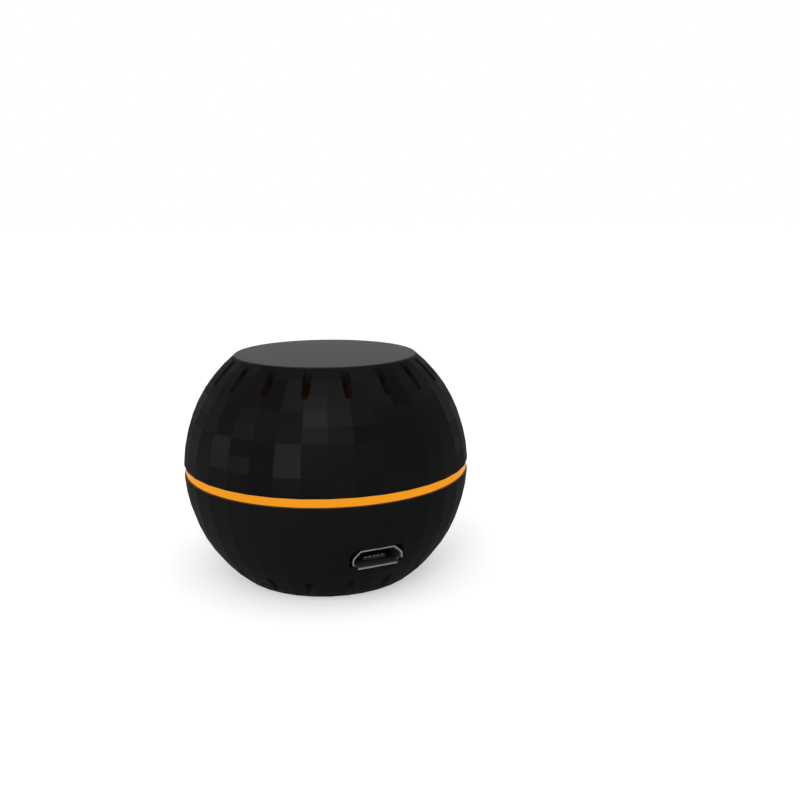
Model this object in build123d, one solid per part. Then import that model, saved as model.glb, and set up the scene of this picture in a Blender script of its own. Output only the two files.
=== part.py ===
"""Ball-shaped room climate sensor that stands on, and twists off, a USB power base.

Millimetres. +Z is up, the socket faces -Y and the origin is the middle of the foot pad's
underside. Angles round the ball are counted from -Y, counter-clockwise seen from above.
"""
from build123d import *
from math import asin, atan2, cos, degrees, radians, sin, sqrt, tan
import os

# The ball
BALL_RADIUS = 22.5       # out to the corners of the facets
HEIGHT = 35.0            # from the table to the flat top
WALL = 1.5
TOP_THICKNESS = 1.6
FLOOR_THICKNESS = 1.6
RIM_ROUND = 0.5          # rounding round the flat top and bottom
RIM_STEPS = 3            # narrow facets that make up the rounding
COLUMNS = 36             # facets round the ball
ROW_ANGLE = 6.0          # latitude that one row of facets takes

# Vent slots
SLOT_COUNT = 18
SLOT_MARGIN = 0.35       # from the edge of the flat top or bottom to a slot, seen from above
SLOT_LENGTH = 3.4        # of the upper slots, seen from above; the lower ones end under them
SLOT_WIDTH = 1.35        # at the end nearer the axis
SLOT_TIP_WIDTH = 1.15    # at the round outer end
SLOT_CORNER = 0.25       # corner rounding at the wide end

# Glowing band and light guide
BAND_HEIGHT = 1.35       # gap between the two shells
BAND_RECESS = 0.25       # how far the band lies inside the ball's radius
BAND_ROUND = 0.15
GUIDE_WALL = 1.2
GUIDE_CLEARANCE = 0.2    # collar to shell
GUIDE_RISE = 0.3         # collar above the LEDs

# Bayonet between the halves
TWIST_ANGLE = 20.0       # turn that frees the upper half
LUG_COUNT = 3
LUG_SPAN = 16.0          # degrees of the neck that one lug takes
LUG_START = 30.0         # angle of the first lug
LUG_REACH = 1.0
LUG_HEIGHT = 1.1
STOP_GAP = 1.0           # degrees between a lug and either end of its groove
RUN_CLEARANCE = 0.1      # between neck and ring, and round each lug
TWIST_GAP = 0.05         # between the light ring and the edge of the base
CARRIER_WALL = 1.0       # outside the grooves
CARRIER_CLEARANCE = 0.15
FLANGE_THICKNESS = 1.1
LEDGE_THICKNESS = 1.0
ROOF_THICKNESS = 1.0
ROOF_GAP = 0.2
NECK_WALL = 1.2
NECK_RISE = 0.3          # neck above its lugs
DECK_THICKNESS = 1.2
DECK_GAP = 0.3           # between the deck and the ring above it
DECK_CLEARANCE = 0.25    # between the deck and the base's wall

# Screws
SCREW_RADIUS = 1.0
SCREW_LENGTH = 6.0       # under the head
HEAD_RADIUS = 1.8
HEAD_HEIGHT = 1.2
CROSS_LENGTH = 2.0
CROSS_WIDTH = 0.4
CROSS_DEPTH = 0.6
THREAD_CLEARANCE = 0.02
HOLE_CLEARANCE = 0.15    # round a shank where it passes freely
PILOT_SPARE = 0.6        # pilot hole beyond the screw's end
SCREWS_PER_HALF = 3
UPPER_SCREW_START = 0.0
BASE_SCREW_START = 60.0
UPPER_BOSS_RADIUS = 2.3
BASE_BOSS_RADIUS = 2.5
TUBE_WALL = 0.7
TUBE_CLEARANCE = 0.2     # round a screw head
TUBE_WEB = 1.2           # under a screw head
NECK_MARGIN = 0.8        # between the neck and the screws inside it

# Circuit boards and what stands on them
BOARD_THICKNESS = 1.0
BOARD_CLEARANCE = 0.3
PAD_THICKNESS = 0.05
LED_WIDTH = 3.0
LED_DEPTH = 1.2
LED_HEIGHT = 1.0
LED_COUNT = 6
LED_START = 30.0
LED_INSET = 0.3          # from the board's edge
LEAD_THICKNESS = 0.15
LEAD_WIDTH = 0.4
LEAD_COUNT = 3           # on each long side of a chip

# Foot
FOOT_PROUD = 0.2
FOOT_THICKNESS = 1.0
FOOT_MARGIN = 1.2        # from the pad to the edge of the flat bottom
FOOT_CLEARANCE = 0.05
FOOT_CHAMFER = 0.15

# Micro-USB socket
PORT_HEIGHT = 8.05       # middle of the socket above the table
PORT_INSET = 0.33        # mouth inside the ball's surface at the port's own height
OPENING_WIDTH = 6.9
OPENING_HEIGHT = 1.85
OPENING_BEVEL_X = 0.95   # bevels at the two upper corners
OPENING_BEVEL_Z = 0.85
OPENING_ROUND = 0.25
SHEET = 0.22
FLARE = 0.25
FLARE_DEPTH = 0.6
LIP_WIDTH = 6.15         # lower lip
NOTCH_TOP = 0.62         # where the side lips end, below the port's middle
PORT_DEPTH = 5.4
CUTOUT_GAP = 0.4         # over the socket and at its sides
CUTOUT_SILL_GAP = 0.1    # under the lower lip
CUTOUT_ROUND = 1.1
TONGUE_WIDTH = 3.6
TONGUE_THICKNESS = 0.5
TONGUE_DROP = 0.52
TONGUE_RECESS = 1.5      # behind the mouth
INSULATOR_DEPTH = 1.2
INSULATOR_CLEARANCE = 0.03
CONTACT_COUNT = 5
CONTACT_PITCH = 0.65
CONTACT_WIDTH = 0.4
CONTACT_SHEET = 0.1
CONTACT_TIP = 0.15       # how far a tip folds down over the tongue's edge
CONTACT_FOOT = 0.7
SOLDER_FOOT_WIDTH = 0.8
SOLDER_FOOT_LENGTH = 1.6

# Spring pins between the two boards
PIN_SPACING = 4.4
BARREL_RADIUS = 0.85
BARREL_WALL = 0.25
BARREL_FLOOR = 0.4
BARREL_PROUD = 2.0       # above its block
PIN_CLEARANCE = 0.05
PIN_HEAD_LENGTH = 2.0
STEM_RADIUS = 0.4
MOUTH_LENGTH = 0.4
PIN_SHOULDER_GAP = 0.6   # between the pin's shoulder and the barrel's mouth at rest
TIP_GAP = 0.02
BLOCK_WIDTH = 3.6
BLOCK_MARGIN = 1.3       # plastic beyond each barrel
BLOCK_GAP = 0.8          # between the block's top and the deck's top
DECK_HOLE_MARGIN = 1.0   # between the block and the deck's hole
SPRING_WIRE_RADIUS = 0.08
SPRING_TURNS = 9
DISC_RADIUS = 1.3
RING_PAD_WIDTH = 2.0

# Parts of the main board: length, width and height, then the place on the board
SENSOR_SIZE = (2.5, 2.5, 0.9)
SENSOR_ANGLE = 300.0
SENSOR_MARGIN = 3.86     # from the board's edge to the sensor's middle
SLIT_WIDTH = 0.8
SLIT_LENGTH = 5.0
MODULE_SIZE = (12.0, 16.0, 0.8)
MODULE_PLACE = (0.0, 4.5)
SHIELD_SIZE = (10.0, 9.0, 2.0)
SHIELD_SHEET = 0.2
SHIELD_MARGIN = 0.8      # from the module's edge
RADIO_CHIP_SIZE = (5.0, 5.0, 0.85)
RADIO_CHIP_LEAD_COUNT = 5     # on each side
ANTENNA_TRACK = 0.6
ANTENNA_BARS = 7
ANTENNA_MARGIN = 0.7     # from the module's edges and from the shield
REGULATOR_SIZE = (6.5, 3.5, 1.6)
REGULATOR_LEAD_WIDTH = 0.8
REGULATOR_PLACE = (9.3, -4.0)
CAPACITOR_SIZE = (3.2, 1.6, 1.2)
MAIN_CAPACITOR_PLACES = ((-8.6, -0.6), (-8.6, -3.2), (5.0, -9.0), (-3.6, -9.0))

# Parts of the power board
CONVERTER_SIZE = (3.0, 1.7, 1.1)
CONVERTER_PLACE = (3.8, -5.2)
INDUCTOR_SIZE = (4.0, 4.0, 2.1)
INDUCTOR_PLACE = (-3.5, -7.0)
POWER_CAPACITOR_PLACES = ((1.5, -10.5), (8.0, 1.5), (8.0, 4.2), (-9.0, 4.0))
FUSE_SIZE = (3.2, 1.6, 0.8)
FUSE_PLACE = (6.0, -11.0)

# Setup button
BUTTON_MARGIN = 0.9      # between the switch, towards +X, and the ring round it
BUTTON_BODY = 4.5
BUTTON_BODY_HEIGHT = 1.6
BUTTON_RADIUS = 1.1
BUTTON_PROUD = 0.9
BUTTON_CLEARANCE = 0.06
BUTTON_FLANGE = 0.35     # wider rim that keeps the plunger in
BUTTON_FLANGE_HEIGHT = 0.3
BUTTON_LID = 0.3
BUTTON_FLOOR = 0.35
DOME_SHEET = 0.06

# Levels along Z
middle = HEIGHT / 2
band_top = middle + BAND_HEIGHT / 2
base_edge = middle - BAND_HEIGHT / 2
ring_bottom = base_edge + TWIST_GAP
carrier_bottom = ring_bottom - FLANGE_THICKNESS
ledge_top = carrier_bottom + LEDGE_THICKNESS
lug_bottom = ledge_top + RUN_CLEARANCE
lug_top = lug_bottom + LUG_HEIGHT
groove_top = lug_top + RUN_CLEARANCE
neck_top = lug_top + NECK_RISE
roof_bottom = neck_top + ROOF_GAP
main_board_bottom = roof_bottom + ROOF_THICKNESS
main_board_top = main_board_bottom + BOARD_THICKNESS
collar_top = main_board_top + LED_HEIGHT + GUIDE_RISE
ceiling = HEIGHT - TOP_THICKNESS
deck_top = carrier_bottom - DECK_GAP
deck_bottom = deck_top - DECK_THICKNESS
base_flat = FOOT_PROUD
floor_top = base_flat + FLOOR_THICKNESS
power_board_top = PORT_HEIGHT - OPENING_HEIGHT / 2 - SHEET
power_board_bottom = power_board_top - BOARD_THICKNESS
web_top = power_board_top + TUBE_WEB
block_top = deck_top - BLOCK_GAP
barrel_top = block_top + BARREL_PROUD
barrel_bottom = power_board_top
pin_tip = main_board_bottom - PAD_THICKNESS - TIP_GAP
button_face = main_board_bottom - BUTTON_BODY_HEIGHT

# Radii from the ball's axis
shell_inner = BALL_RADIUS - WALL
top_rim = sqrt(BALL_RADIUS**2 - (HEIGHT - middle)**2)
bottom_rim = sqrt(BALL_RADIUS**2 - (middle - base_flat)**2)
upper_slot_start = top_rim + SLOT_MARGIN
lower_slot_start = bottom_rim + SLOT_MARGIN
slot_end = upper_slot_start + SLOT_LENGTH
band_radius = BALL_RADIUS - BAND_RECESS
collar_outer = sqrt(shell_inner**2 - (collar_top - middle)**2) - GUIDE_CLEARANCE
collar_inner = collar_outer - GUIDE_WALL
carrier_outer = collar_inner - CARRIER_CLEARANCE
groove_radius = carrier_outer - CARRIER_WALL
carrier_bore = groove_radius - LUG_REACH
neck_outer = carrier_bore - RUN_CLEARANCE
lug_tip = groove_radius - RUN_CLEARANCE
neck_inner = neck_outer - NECK_WALL
deck_radius = sqrt(shell_inner**2 - (middle - deck_bottom)**2) - DECK_CLEARANCE
tube_bore = HEAD_RADIUS + TUBE_CLEARANCE
tube_radius = tube_bore + TUBE_WALL
upper_screw_circle = neck_inner - NECK_MARGIN - HEAD_RADIUS
base_screw_circle = neck_inner - NECK_MARGIN - tube_radius
roof_inner = upper_screw_circle - HEAD_RADIUS - HOLE_CLEARANCE
main_board_radius = collar_inner - BOARD_CLEARANCE
power_board_radius = sqrt(shell_inner**2 - (middle - power_board_bottom)**2) - BOARD_CLEARANCE
foot_radius = bottom_rim - FOOT_MARGIN
port_mouth = sqrt(BALL_RADIUS**2 - (middle - PORT_HEIGHT)**2) - PORT_INSET
port_back = port_mouth - PORT_DEPTH
barrel_bore = BARREL_RADIUS - BARREL_WALL
pin_radius = barrel_bore - PIN_CLEARANCE
block_length = PIN_SPACING + 2 * (BARREL_RADIUS + BLOCK_MARGIN)
module_top = main_board_top + MODULE_SIZE[2]
antenna_zone = MODULE_SIZE[1] - SHIELD_SIZE[1] - SHIELD_MARGIN
button_offset = roof_inner - BUTTON_MARGIN - BUTTON_BODY / 2
sensor_place = Rot(0, 0, SENSOR_ANGLE) * Pos(0, SENSOR_MARGIN - main_board_radius)
groove_span = LUG_SPAN + 2 * STOP_GAP + TWIST_ANGLE
entry_span = LUG_SPAN + 2 * STOP_GAP


def tube(outer, inner, bottom, top):
    """Round tube on the Z axis between two levels."""
    ring = Circle(outer) - Circle(inner)
    return extrude(Pos(0, 0, bottom) * ring, top - bottom)


def rod(radius, bottom, top):
    """Round rod on the Z axis between two levels."""
    return extrude(Pos(0, 0, bottom) * Circle(radius), top - bottom)


def block(x_size, y_size, bottom, top):
    """Box about the Z axis between two levels."""
    return extrude(Pos(0, 0, bottom) * Rectangle(x_size, y_size), top - bottom)


def arc_block(outer, inner, start, span, bottom, top):
    """Part of a round tube, from one angle on through a span of degrees."""
    profile = Pos((outer + inner) / 2, (bottom + top) / 2) * Rectangle(outer - inner, top - bottom)
    return Rot(0, 0, start - 90) * revolve(Plane.XZ * profile, Axis.Z, span)


def around(shape, count, start=0.0):
    """Copies of a shape, evenly spaced round the axis."""
    return [Rot(0, 0, start + 360 / count * i) * shape for i in range(count)]


def half_profile(flat):
    """Corners (radius, rise) of half the ball's outline, from its middle out to a flat at a rise."""
    flat_latitude = degrees(asin(flat / BALL_RADIUS))
    latitude = ROW_ANGLE / 2
    corners = []
    while latitude < flat_latitude - ROW_ANGLE / 2:
        corners.append((BALL_RADIUS * cos(radians(latitude)), BALL_RADIUS * sin(radians(latitude))))
        latitude += ROW_ANGLE
    rim = sqrt(BALL_RADIUS**2 - flat**2)
    last_radius, last_rise = corners[-1]
    turn = atan2(flat - last_rise, last_radius - rim)
    round_radius = rim - RIM_ROUND * tan(turn / 2)
    for step in range(RIM_STEPS + 1):
        angle = turn * (1 - step / RIM_STEPS)
        corners.append((round_radius + RIM_ROUND * sin(angle), flat - RIM_ROUND * (1 - cos(angle))))
    return corners


def faceted_ball():
    """Ball with a flat top and bottom whose sides are flat facets in rows and columns."""
    upper = [(radius, middle + rise) for radius, rise in half_profile(HEIGHT - middle)]
    lower = [(radius, middle - rise) for radius, rise in half_profile(middle - base_flat)]
    corners = []
    for column in range(COLUMNS):
        angle = radians(360 / COLUMNS * column)
        corners += [(radius * sin(angle), -radius * cos(angle), level) for radius, level in upper + lower]
    return ConvexPolyhedron(corners)


def vent_slots(start, bottom, top):
    """Cutters for slots from a radius out, straight along Z, as the mould's steel shuts them off."""
    tip = Pos(0, -(slot_end - SLOT_TIP_WIDTH / 2)) * Circle(SLOT_TIP_WIDTH / 2)
    corner_x = SLOT_WIDTH / 2 - SLOT_CORNER
    corner_y = -(start + SLOT_CORNER)
    corners = [Pos(side * corner_x, corner_y) * Circle(SLOT_CORNER) for side in (-1, 1)]
    outline = make_hull([end.edge() for end in (tip, *corners)])
    cutter = extrude(Pos(0, 0, bottom) * outline, top - bottom)
    return around(cutter, SLOT_COUNT, 180 / SLOT_COUNT)


def upper_shell():
    """Faceted dome with its flat top, slots and the bosses that take the upper screws."""
    dome = split(faceted_ball(), Plane.XY.offset(band_top))
    hollow = Pos(0, 0, middle) * Sphere(shell_inner)
    hollow = split(hollow, Plane.XY.offset(ceiling), keep=Keep.BOTTOM)
    boss = Pos(0, -upper_screw_circle) * rod(UPPER_BOSS_RADIUS, main_board_top, HEIGHT)
    hollow -= around(boss, SCREWS_PER_HALF, UPPER_SCREW_START)
    pilot_top = roof_bottom + SCREW_LENGTH + PILOT_SPARE
    pilot = rod(SCREW_RADIUS + THREAD_CLEARANCE, main_board_top, pilot_top)
    pilot = Pos(0, -upper_screw_circle) * pilot
    shell = dome - hollow
    shell -= around(pilot, SCREWS_PER_HALF, UPPER_SCREW_START)
    return shell - vent_slots(upper_slot_start, middle, HEIGHT)


def light_ring():
    """Light guide: the band that shows between the shells and a collar up inside the dome."""
    band = tube(band_radius, collar_inner, ring_bottom, band_top)
    rims = band.edges().filter_by(GeomType.CIRCLE).group_by(SortBy.RADIUS)[-1]
    return fillet(rims, BAND_ROUND) + tube(collar_outer, collar_inner, band_top, collar_top)


def carrier_ring():
    """Ring under the main board: clamps the light ring and has the bayonet grooves inside."""
    ring = tube(carrier_outer, carrier_bore, carrier_bottom, main_board_bottom)
    ring += tube(collar_outer, carrier_bore, carrier_bottom, ring_bottom)
    ring += tube(carrier_outer, roof_inner, roof_bottom, main_board_bottom)
    groove_start = LUG_SPAN / 2 + STOP_GAP - groove_span
    groove = arc_block(groove_radius, 0, groove_start, groove_span, ledge_top, groove_top)
    entry = arc_block(groove_radius, 0, groove_start, entry_span, carrier_bottom, groove_top)
    core = rod(carrier_bore, carrier_bottom, roof_bottom)
    ring -= core
    ring -= around(groove, LUG_COUNT, LUG_START) + around(entry, LUG_COUNT, LUG_START)
    hole = rod(SCREW_RADIUS + HOLE_CLEARANCE, roof_bottom, main_board_bottom)
    return ring - around(Pos(0, -upper_screw_circle) * hole, SCREWS_PER_HALF, UPPER_SCREW_START)


def screw():
    """Pan-head screw on the Z axis: head above Z = 0, shank below, with a cross recess."""
    body = rod(HEAD_RADIUS, 0, HEAD_HEIGHT)
    body = chamfer(body.edges().group_by(Axis.Z)[-1], HEAD_HEIGHT / 4)
    body += rod(SCREW_RADIUS, -SCREW_LENGTH, 0)
    for x_size, y_size in ((CROSS_LENGTH, CROSS_WIDTH), (CROSS_WIDTH, CROSS_LENGTH)):
        body -= block(x_size, y_size, HEAD_HEIGHT - CROSS_DEPTH, HEAD_HEIGHT)
    return body


def base_shell():
    """Faceted bowl with slots, foot recess, socket cut-out and bosses for the base screws."""
    bowl = split(faceted_ball(), Plane.XY.offset(base_edge), keep=Keep.BOTTOM)
    hollow = Pos(0, 0, middle) * Sphere(shell_inner)
    hollow = split(hollow, Plane.XY.offset(floor_top))
    boss = rod(BASE_BOSS_RADIUS, base_flat, power_board_bottom)
    hollow -= around(Pos(0, -base_screw_circle) * boss, SCREWS_PER_HALF, BASE_SCREW_START)
    bowl -= hollow
    pilot = rod(SCREW_RADIUS + THREAD_CLEARANCE, web_top - SCREW_LENGTH - PILOT_SPARE, power_board_bottom)
    bowl -= around(Pos(0, -base_screw_circle) * pilot, SCREWS_PER_HALF, BASE_SCREW_START)
    bowl -= rod(foot_radius + FOOT_CLEARANCE, 0, FOOT_THICKNESS)
    cutout = RectangleRounded(
        OPENING_WIDTH + 2 * (SHEET + FLARE + CUTOUT_GAP),
        OPENING_HEIGHT + 2 * (SHEET + FLARE) + CUTOUT_GAP + CUTOUT_SILL_GAP,
        CUTOUT_ROUND,
    )
    cutout = Pos(0, (CUTOUT_GAP - CUTOUT_SILL_GAP) / 2) * cutout
    bowl -= extrude(port_plane(BALL_RADIUS) * cutout, BALL_RADIUS - port_back)
    return bowl - vent_slots(lower_slot_start, 0, middle)


def base_cover():
    """Deck screwed into the bowl: bayonet neck with its lugs, and tubes down to the board."""
    cover = rod(deck_radius, deck_bottom, deck_top)
    cover += tube(neck_outer, neck_inner, deck_top, neck_top)
    lug = arc_block(lug_tip, neck_inner + NECK_WALL / 2, -LUG_SPAN / 2, LUG_SPAN, lug_bottom, lug_top)
    cover += around(lug, LUG_COUNT, LUG_START)
    screw_tube = Pos(0, -base_screw_circle) * rod(tube_radius, power_board_top, deck_top)
    screw_bore = Pos(0, -base_screw_circle) * rod(tube_bore, web_top, deck_top)
    screw_hole = Pos(0, -base_screw_circle) * rod(SCREW_RADIUS + HOLE_CLEARANCE, power_board_top, web_top)
    cover += around(screw_tube, SCREWS_PER_HALF, BASE_SCREW_START)
    cover -= around(screw_bore, SCREWS_PER_HALF, BASE_SCREW_START)
    cover -= around(screw_hole, SCREWS_PER_HALF, BASE_SCREW_START)
    hole = RectangleRounded(
        block_length + 2 * DECK_HOLE_MARGIN, BLOCK_WIDTH + 2 * DECK_HOLE_MARGIN, DECK_HOLE_MARGIN
    )
    return cover - extrude(Pos(-PIN_SPACING / 2, 0, deck_bottom) * hole, DECK_THICKNESS)


def foot_pad():
    """Rubber disc in the recess of the flat bottom, a little proud of it."""
    pad = rod(foot_radius, 0, FOOT_THICKNESS)
    return chamfer(pad.edges().group_by(Axis.Z)[0], FOOT_CHAMFER)


def main_board():
    """Round board with the screw holes and an L-shaped slit that keeps heat off the sensor."""
    board = rod(main_board_radius, main_board_bottom, main_board_top)
    hole = rod(SCREW_RADIUS + HOLE_CLEARANCE, main_board_bottom, main_board_top)
    board -= around(Pos(0, -upper_screw_circle) * hole, SCREWS_PER_HALF, UPPER_SCREW_START)
    long_slit = block(SLIT_WIDTH, SLIT_LENGTH, main_board_bottom, main_board_top)
    short_slit = block(SLIT_LENGTH, SLIT_WIDTH, main_board_bottom, main_board_top)
    slit_reach = (SLIT_LENGTH - SLIT_WIDTH) / 2
    board -= sensor_place * Pos(slit_reach) * long_slit
    board -= sensor_place * Pos(0, slit_reach) * short_slit
    return board


def power_board():
    """Round board that lies on the base's bosses and carries the socket and the spring pins."""
    board = rod(power_board_radius, power_board_bottom, power_board_top)
    hole = rod(SCREW_RADIUS + HOLE_CLEARANCE, power_board_bottom, power_board_top)
    return board - around(Pos(0, -base_screw_circle) * hole, SCREWS_PER_HALF, BASE_SCREW_START)


def chip(length, width, height, level, lead_count=LEAD_COUNT, lead_width=LEAD_WIDTH):
    """Moulded chip on a board: chamfered body, with flat leads along its two long sides."""
    body = block(length, width, level + LEAD_THICKNESS, level + height)
    body = chamfer(body.edges().group_by(Axis.Z)[-1], height / 8)
    pitch = length / lead_count
    for index in range(lead_count):
        x_place = (index - (lead_count - 1) / 2) * pitch
        lead = block(lead_width, width + 4 * LEAD_THICKNESS, level, level + LEAD_THICKNESS)
        body += Pos(x_place) * lead
    return body


def chip_capacitor(length, width, height, level):
    """Ceramic chip capacitor with its two metal ends a little larger than its middle."""
    body = block(length, width - LEAD_THICKNESS, level, level + height - LEAD_THICKNESS / 2)
    for side in (-1, 1):
        end = block(length / 5, width, level, level + height)
        body += Pos(side * length * 2 / 5) * end
    return body


def status_leds():
    """Side-firing LEDs at the edge of the main board, aimed at the collar."""
    reach = main_board_radius - LED_INSET - LED_DEPTH / 2
    led = block(LED_WIDTH, LED_DEPTH, main_board_top, main_board_top + LED_HEIGHT)
    lens_size = LED_HEIGHT / 2
    lens = Plane.XZ.offset(LED_DEPTH / 2) * Rectangle(LED_WIDTH * 0.6, lens_size)
    lens = Pos(0, 0, main_board_top + LED_HEIGHT / 2) * extrude(lens, LED_INSET / 3)
    return Compound(around(Pos(0, -reach) * (led + lens), LED_COUNT, LED_START))


def contact_pads():
    """Gilt disc and ring under the main board, so that the pins touch at any turn."""
    pad_bottom = main_board_bottom - PAD_THICKNESS
    disc = rod(DISC_RADIUS, pad_bottom, main_board_bottom)
    reach = RING_PAD_WIDTH / 2
    ring = tube(PIN_SPACING + reach, PIN_SPACING - reach, pad_bottom, main_board_bottom)
    return disc, ring


def port_plane(distance):
    """Plane across the socket at a distance from the axis, its normal towards the axis."""
    return Plane(origin=(0, -distance, PORT_HEIGHT), x_dir=(-1, 0, 0), z_dir=(0, 1, 0))


def port_outline(growth):
    """Outline of the socket's opening, grown outwards: wide below, bevelled above."""
    half_width = OPENING_WIDTH / 2
    half_height = OPENING_HEIGHT / 2
    outline = Polygon(
        (-half_width, -half_height),
        (half_width, -half_height),
        (half_width, half_height - OPENING_BEVEL_Z),
        (half_width - OPENING_BEVEL_X, half_height),
        (-half_width + OPENING_BEVEL_X, half_height),
        (-half_width, half_height - OPENING_BEVEL_Z),
        align=None,
    )
    outline = fillet(outline.vertices(), OPENING_ROUND)
    return offset(outline, growth) if growth else outline


def usb_shell():
    """Pressed steel shell of the socket, with a flared mouth, corner notches and solder feet."""
    mouth = port_plane(port_mouth)
    throat = port_plane(port_mouth - FLARE_DEPTH)
    straight = PORT_DEPTH - FLARE_DEPTH
    shell = extrude(throat * port_outline(SHEET), straight)
    shell += loft([mouth * port_outline(SHEET + FLARE), throat * port_outline(SHEET)])
    notch_height = OPENING_HEIGHT / 2 + SHEET + FLARE
    for side in (-1, 1):
        notch = Rectangle(OPENING_WIDTH, notch_height - NOTCH_TOP)
        notch = Pos(side * (LIP_WIDTH + OPENING_WIDTH) / 2, -(notch_height + NOTCH_TOP) / 2) * notch
        shell -= extrude(mouth * notch, FLARE_DEPTH)
        foot = block(SOLDER_FOOT_WIDTH + SHEET, SOLDER_FOOT_LENGTH, power_board_top, power_board_top + SHEET)
        foot_x = side * (OPENING_WIDTH / 2 + SOLDER_FOOT_WIDTH / 2)
        shell += Pos(foot_x, -(port_back + SOLDER_FOOT_LENGTH / 2)) * foot
    shell -= extrude(throat * port_outline(0), straight)
    return shell - loft([mouth * port_outline(FLARE), throat * port_outline(0)])


def contact_strip():
    """One gilt strip: tip over the tongue's edge, run along its top, leg and foot behind."""
    run_level = PORT_HEIGHT - TONGUE_DROP + TONGUE_THICKNESS / 2 + CONTACT_SHEET / 2
    front = -(port_mouth - TONGUE_RECESS) - CONTACT_SHEET / 2
    back = -port_back + CONTACT_SHEET
    foot_level = power_board_top + CONTACT_SHEET / 2
    corners = [
        (front, run_level - CONTACT_TIP),
        (front, run_level),
        (back, run_level),
        (back, foot_level),
        (back + CONTACT_FOOT, foot_level),
    ]
    strip = None
    for (y_start, z_start), (y_end, z_end) in zip(corners, corners[1:]):
        run = Box(CONTACT_WIDTH, abs(y_end - y_start) + CONTACT_SHEET, abs(z_end - z_start) + CONTACT_SHEET)
        run = Pos(0, (y_start + y_end) / 2, (z_start + z_end) / 2) * run
        strip = run if strip is None else strip + run
    return strip


def usb_contacts():
    """The socket's five contacts, side by side."""
    places = [(index - (CONTACT_COUNT - 1) / 2) * CONTACT_PITCH for index in range(CONTACT_COUNT)]
    return Compound([Pos(x_place) * contact_strip() for x_place in places])


def usb_tongue():
    """Moulded insulator: a block that closes the shell's back and the tongue in front of it."""
    back_outline = offset(port_outline(0), -INSULATOR_CLEARANCE)
    body = extrude(port_plane(port_back + INSULATOR_DEPTH) * back_outline, INSULATOR_DEPTH)
    tongue_length = PORT_DEPTH - TONGUE_RECESS
    tongue = Box(TONGUE_WIDTH, tongue_length, TONGUE_THICKNESS)
    body += Pos(0, -(port_back + tongue_length / 2), PORT_HEIGHT - TONGUE_DROP) * tongue
    return body - list(usb_contacts().solids())


def pin_places():
    """The axes of the two spring pins: one on the ball's axis, one beside it."""
    return Pos(0, 0), Pos(-PIN_SPACING, 0)


def pin_block():
    """Moulded holder that keeps the two barrels upright on the power board."""
    holder = block(block_length, BLOCK_WIDTH, power_board_top, block_top)
    holder = Pos(-PIN_SPACING / 2) * chamfer(holder.edges().group_by(Axis.Z)[-1], BLOCK_MARGIN / 4)
    hole = rod(BARREL_RADIUS, power_board_top, block_top)
    return holder - [place * hole for place in pin_places()]


def pin_barrels():
    """Two brass barrels with a closed floor and a narrowed mouth."""
    barrel = rod(BARREL_RADIUS, barrel_bottom, barrel_top)
    barrel -= rod(barrel_bore, barrel_bottom + BARREL_FLOOR, barrel_top - MOUTH_LENGTH)
    barrel -= rod(STEM_RADIUS + PIN_CLEARANCE, barrel_top - MOUTH_LENGTH, barrel_top)
    return Compound([place * barrel for place in pin_places()])


def spring_pin():
    """Plunger: a head that slides in the barrel, a thinner stem and a round tip."""
    head_top = barrel_top - MOUTH_LENGTH - PIN_SHOULDER_GAP
    pin = rod(pin_radius, head_top - PIN_HEAD_LENGTH, head_top)
    pin += rod(STEM_RADIUS, head_top, pin_tip - STEM_RADIUS)
    return pin + Pos(0, 0, pin_tip - STEM_RADIUS) * Sphere(STEM_RADIUS)


def pin_spring():
    """Coil spring between the barrel's floor and the plunger's head."""
    bottom = barrel_bottom + BARREL_FLOOR + SPRING_WIRE_RADIUS
    head_bottom = barrel_top - MOUTH_LENGTH - PIN_SHOULDER_GAP - PIN_HEAD_LENGTH
    length = head_bottom - SPRING_WIRE_RADIUS - bottom
    coil_radius = pin_radius - SPRING_WIRE_RADIUS
    path = Pos(0, 0, bottom) * Helix(length / SPRING_TURNS, length, coil_radius)
    wire = Plane(path @ 0, z_dir=path % 0) * Circle(SPRING_WIRE_RADIUS)
    return sweep(wire, path, is_frenet=True)


def button_housing():
    """Square switch body under the main board, open below for its plunger."""
    body = block(BUTTON_BODY, BUTTON_BODY, button_face, main_board_bottom)
    well_top = main_board_bottom - BUTTON_FLOOR
    body -= rod(BUTTON_RADIUS + BUTTON_CLEARANCE, button_face, well_top)
    wide = BUTTON_RADIUS + BUTTON_FLANGE + BUTTON_CLEARANCE
    body -= rod(wide, button_face + BUTTON_LID, well_top)
    return body


def setup_button():
    """Plunger of the setup switch, with the rim that keeps it in its housing."""
    rim_bottom = button_face + BUTTON_LID + BUTTON_CLEARANCE
    plunger = rod(BUTTON_RADIUS, button_face - BUTTON_PROUD, rim_bottom + BUTTON_FLANGE_HEIGHT)
    plunger = chamfer(plunger.edges().group_by(Axis.Z)[0], BUTTON_FLANGE / 2)
    return plunger + rod(BUTTON_RADIUS + BUTTON_FLANGE, rim_bottom, rim_bottom + BUTTON_FLANGE_HEIGHT)


def button_dome():
    """Snap dome between the housing's floor and the plunger."""
    rim_radius = BUTTON_RADIUS
    foot = main_board_bottom - BUTTON_FLOOR
    crown = button_face + BUTTON_LID + BUTTON_CLEARANCE + BUTTON_FLANGE_HEIGHT
    rise = foot - crown
    outer = (rim_radius**2 + rise**2) / (2 * rise)
    cap = Pos(0, 0, crown + outer) * (Sphere(outer) - Sphere(outer - DOME_SHEET))
    return split(cap, Plane.XY.offset(foot), keep=Keep.BOTTOM)


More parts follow.
